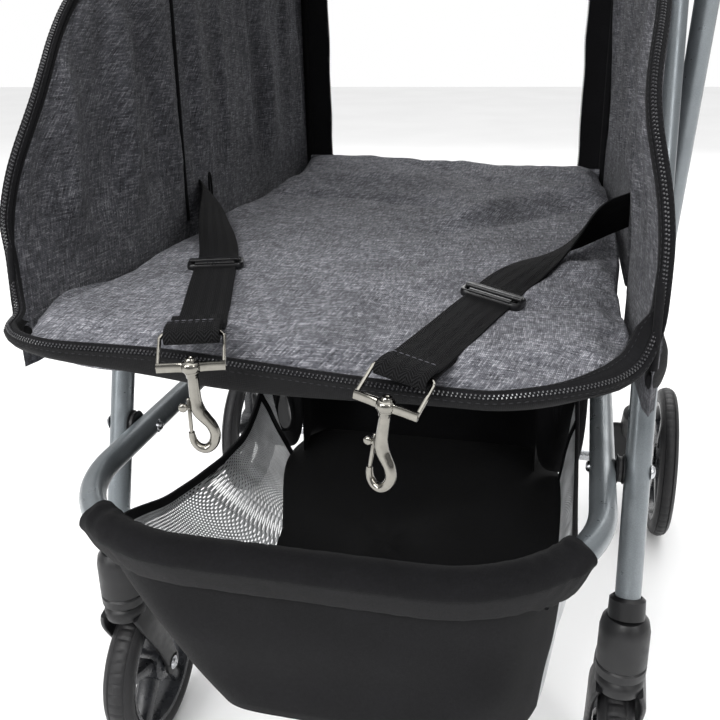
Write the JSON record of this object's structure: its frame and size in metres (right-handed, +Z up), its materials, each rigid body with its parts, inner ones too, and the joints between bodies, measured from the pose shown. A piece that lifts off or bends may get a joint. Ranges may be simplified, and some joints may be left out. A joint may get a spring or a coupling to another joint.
{
  "type": "pet stroller",
  "caption": "Folding pet stroller: tube frame on wheels, fabric cabin with hood and open zipped front, tether straps with snap hooks, shopping basket.",
  "frame": {"origin": "middle of the footprint, on the ground", "axes": "+Z up, -Y towards the cabin's open front, +Y towards the handle, +X to the right for someone facing the rear"},
  "size_m": [0.5, 0.7704, 0.9983],
  "materials": {
    "silver_paint": "satin silver-grey powder coat",
    "bright_nickel": "polished nickel plate",
    "black_plastic": "fine-grained moulded",
    "grey_plastic": "smooth moulded",
    "tyre": "matt foam rubber",
    "foam_grip": "matt foam",
    "zip": "moulded teeth on woven tape",
    "grey_fabric": "melange linen-look polyester weave",
    "black_fabric": "woven polyester"
  },
  "bodies": {
    "frame": {"front_leg_l": "silver_paint", "front_leg_r": "silver_paint", "side_hub_l": "black_plastic", "side_hub_r": "black_plastic", "seat_rail_l": "silver_paint", "seat_rail_r": "silver_paint", "rear_strut_l": "silver_paint", "rear_strut_r": "silver_paint", "seat_cross_front": "silver_paint", "seat_cross_rear": "silver_paint", "basket_tube": "silver_paint", "leg_spacer_l": "black_plastic", "leg_spacer_r": "black_plastic", "caster_housing_l": "black_plastic", "caster_housing_r": "black_plastic", "floor_board": "black_plastic", "floor_cushion": "grey_fabric", "cabin_side_l": "grey_fabric", "cabin_side_r": "grey_fabric", "front_band": "black_fabric", "front_zip": "zip", "canopy": "grey_fabric", "rear_flap_roll": "grey_fabric", "basket": "black_fabric", "tether_strap_l": "black_fabric", "tether_strap_r": "black_fabric"},
    "rear_frame": {"rear_leg_l": "silver_paint", "rear_leg_r": "silver_paint", "rear_axle": "bright_nickel", "wheel_bracket_l": "black_plastic", "wheel_bracket_r": "black_plastic"},
    "handle": {"handle_tube": "silver_paint", "handle_grip": "foam_grip", "handle_hub_l": "black_plastic", "handle_hub_r": "black_plastic"},
    "hood_front": {"front_bow": "black_plastic", "front_flap_roll": "grey_fabric"},
    "hood_mid": {"mid_bow": "black_plastic"},
    "rear_wheel_l": {"rear_rim_l": "grey_plastic", "rear_tyre_l": "tyre"},
    "brake_l": {"brake_pedal_l": "black_plastic"},
    "lock_l": {"lock_button_l": "grey_plastic"},
    "caster_l": {"caster_fork_l": "black_plastic"},
    "front_wheel_l": {"front_rim_l": "grey_plastic", "front_tyre_l": "tyre"},
    "slider_l": {"strap_slider_l": "black_plastic"},
    "eye_l": {"hook_eye_l": "bright_nickel"},
    "hook_l": {"snap_hook_l": "bright_nickel"},
    "trigger_l": {"hook_trigger_l": "bright_nickel"},
    "rear_wheel_r": {"rear_rim_r": "grey_plastic", "rear_tyre_r": "tyre"},
    "brake_r": {"brake_pedal_r": "black_plastic"},
    "lock_r": {"lock_button_r": "grey_plastic"},
    "caster_r": {"caster_fork_r": "black_plastic"},
    "front_wheel_r": {"front_rim_r": "grey_plastic", "front_tyre_r": "tyre"},
    "slider_r": {"strap_slider_r": "black_plastic"},
    "eye_r": {"hook_eye_r": "bright_nickel"},
    "hook_r": {"snap_hook_r": "bright_nickel"},
    "trigger_r": {"hook_trigger_r": "bright_nickel"}
  },
  "joints": [
    {"name": "handle_fold", "type": "hinge", "parent": "frame", "child": "handle", "pos_m": [0, -0.08906, 0.62], "axis": [1, 0, 0], "range_deg": [0, 175]},
    {"name": "rear_leg_fold", "type": "hinge", "parent": "frame", "child": "rear_frame", "pos_m": [0, -0.08906, 0.62], "axis": [1, 0, 0], "range_deg": [-29.75, 0]},
    {"name": "hood_fold", "type": "hinge", "parent": "frame", "child": "hood_front", "pos_m": [0, -0.08906, 0.62], "axis": [-1, 0, 0], "range_deg": [0, 70], "deforming": ["canopy"]},
    {"name": "hood_mid_fold", "type": "hinge", "parent": "frame", "child": "hood_mid", "pos_m": [0, -0.08906, 0.62], "axis": [-1, 0, 0], "range_deg": [0, 35]},
    {"name": "rear_wheel_spin_l", "type": "hinge", "parent": "rear_frame", "child": "rear_wheel_l", "pos_m": [-0.235, 0.18904, 0.08], "axis": [1, 0, 0], "continuous": true},
    {"name": "brake_press_l", "type": "hinge", "parent": "rear_frame", "child": "brake_l", "pos_m": [-0.20375, 0.21904, 0.092], "axis": [-1, 0, 0], "range_deg": [0, 20]},
    {"name": "lock_press_l", "type": "slide", "parent": "handle", "child": "lock_l", "axis": [1, 0, 0], "range_m": [0, 0.004], "stiffness_N_per_m": 200, "springref_m": -0.002},
    {"name": "caster_swivel_l", "type": "hinge", "parent": "frame", "child": "caster_l", "pos_m": [-0.1758, -0.22826, 0.14], "axis": [0, 0, 1], "continuous": true},
    {"name": "front_wheel_spin_l", "type": "hinge", "parent": "caster_l", "child": "front_wheel_l", "pos_m": [-0.1758, -0.20026, 0.0625], "axis": [1, 0, 0], "continuous": true},
    {"name": "strap_adjust_l", "type": "slide", "parent": "frame", "child": "slider_l", "axis": [-0.3223, 0.9466, 0], "range_m": [-0.03, 0.12]},
    {"name": "eye_tilt_l", "type": "hinge", "parent": "frame", "child": "eye_l", "pos_m": [-0.0368, -0.36296, 0.4066], "axis": [-0.9466, -0.3223, 0], "range_deg": [0, 75]},
    {"name": "hook_swivel_l", "type": "hinge", "parent": "eye_l", "child": "hook_l", "pos_m": [-0.03155, -0.37838, 0.39521], "axis": [0, 0, 1], "continuous": true},
    {"name": "trigger_slide_l", "type": "slide", "parent": "hook_l", "child": "trigger_l", "axis": [0, 0, 1], "range_m": [0, 0.004], "stiffness_N_per_m": 40, "springref_m": -0.001},
    {"name": "rear_wheel_spin_r", "type": "hinge", "parent": "rear_frame", "child": "rear_wheel_r", "pos_m": [0.235, 0.18904, 0.08], "axis": [1, 0, 0], "continuous": true},
    {"name": "brake_press_r", "type": "hinge", "parent": "rear_frame", "child": "brake_r", "pos_m": [0.20375, 0.21904, 0.092], "axis": [-1, 0, 0], "range_deg": [0, 20]},
    {"name": "lock_press_r", "type": "slide", "parent": "handle", "child": "lock_r", "axis": [-1, 0, 0], "range_m": [0, 0.004], "stiffness_N_per_m": 200, "springref_m": -0.002},
    {"name": "caster_swivel_r", "type": "hinge", "parent": "frame", "child": "caster_r", "pos_m": [0.1758, -0.22826, 0.14], "axis": [0, 0, 1], "continuous": true},
    {"name": "front_wheel_spin_r", "type": "hinge", "parent": "caster_r", "child": "front_wheel_r", "pos_m": [0.1758, -0.20026, 0.0625], "axis": [1, 0, 0], "continuous": true},
    {"name": "strap_adjust_r", "type": "slide", "parent": "frame", "child": "slider_r", "axis": [0.2334, 0.9724, 0], "range_m": [-0.025, 0.12]},
    {"name": "eye_tilt_r", "type": "hinge", "parent": "frame", "child": "eye_r", "pos_m": [0.0612, -0.36296, 0.3957], "axis": [-0.9576, 0.2299, 0.1736], "range_deg": [0, 75]},
    {"name": "hook_swivel_r", "type": "hinge", "parent": "eye_r", "child": "hook_r", "pos_m": [0.05548, -0.37833, 0.38449], "axis": [0.1688, -0.0405, 0.9848], "continuous": true},
    {"name": "trigger_slide_r", "type": "slide", "parent": "hook_r", "child": "trigger_r", "axis": [0.1688, -0.0405, 0.9848], "range_m": [0, 0.004], "stiffness_N_per_m": 40, "springref_m": -0.001}
  ],
  "couplings": [
    {"joint": "rear_leg_fold", "follows": "handle_fold", "ratio": -0.17},
    {"joint": "hood_mid_fold", "follows": "hood_fold", "ratio": 0.5}
  ]
}
